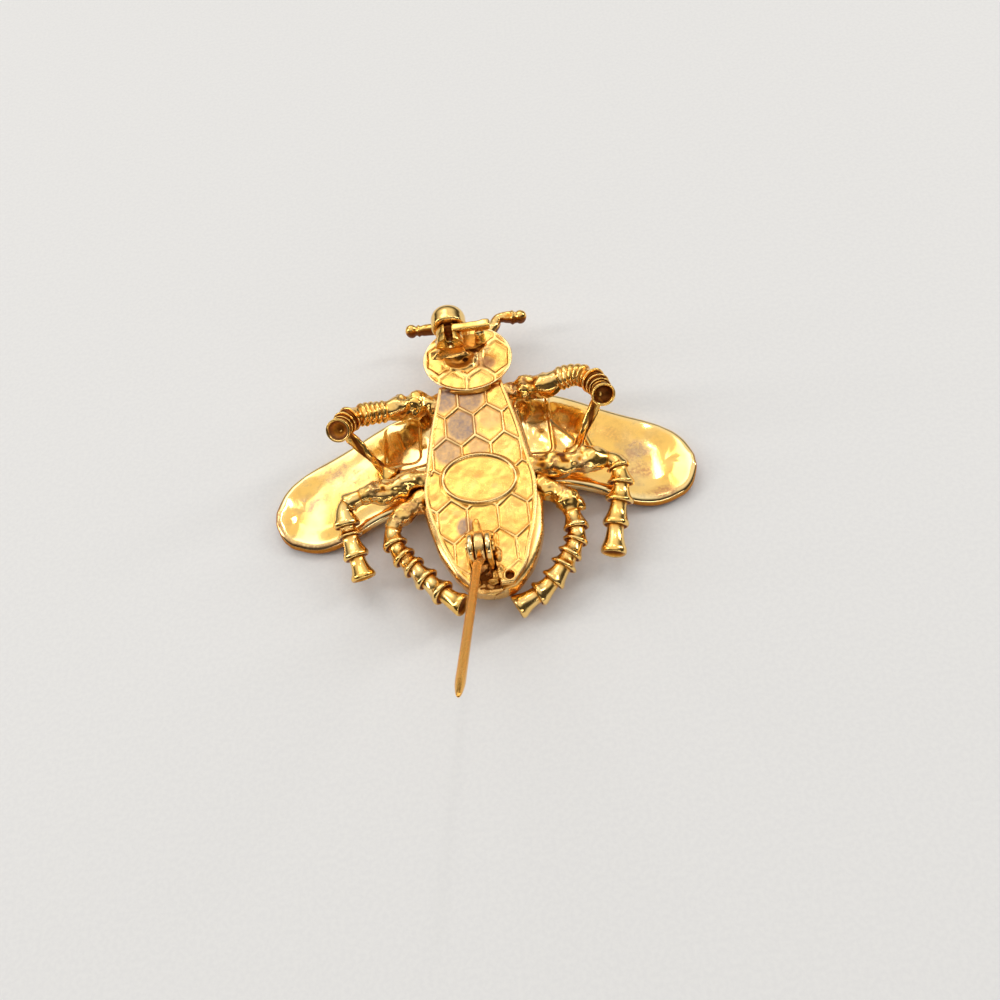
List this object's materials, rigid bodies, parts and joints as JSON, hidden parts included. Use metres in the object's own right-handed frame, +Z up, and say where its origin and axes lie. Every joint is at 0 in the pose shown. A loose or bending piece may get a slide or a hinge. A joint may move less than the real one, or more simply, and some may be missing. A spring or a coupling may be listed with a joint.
{
  "type": "insect brooch",
  "caption": "Bee brooch lying face down: honeycomb back plate with a bare oval, spread wings, segmented legs, a hinged pin swung open and a roller catch with a lever.",
  "frame": {"origin": "on the table, under the middle of the bounding box", "axes": "+Z up from the table, +Y towards the head, +X to the right as seen from above with the head ahead"},
  "size_m": [0.054, 0.0605, 0.0306],
  "materials": {
    "cast_gold": "polished cast brass with yellow gold plating, worn and a little tarnished",
    "fitting_gold": "polished yellow gold plating",
    "pin_wire": "drawn wire, satin yellow gold plating"
  },
  "bodies": {
    "brooch": {"body": "cast_gold", "head": "cast_gold", "wing_left": "cast_gold", "wing_right": "cast_gold", "leg_front_left": "cast_gold", "leg_front_right": "cast_gold", "leg_middle_left": "cast_gold", "leg_middle_right": "cast_gold", "leg_rear_left": "cast_gold", "leg_rear_right": "cast_gold", "antenna_left": "cast_gold", "antenna_right": "cast_gold", "hinge_bracket": "fitting_gold", "hinge_rivet": "fitting_gold", "catch_body": "fitting_gold"},
    "pin": {"pin_stem": "pin_wire"},
    "roller": {"catch_roller": "fitting_gold"}
  },
  "joints": [
    {"name": "pin_hinge", "type": "hinge", "parent": "brooch", "child": "pin", "pos_m": [-0.0005, -0.00722, 0.0098], "axis": [1, 0, 0], "range_deg": [-138, 0]},
    {"name": "catch_roll", "type": "hinge", "parent": "brooch", "child": "roller", "pos_m": [-0.0019, 0.02313, 0.0098], "axis": [0, -1, 0], "range_deg": [0, 120]}
  ]
}
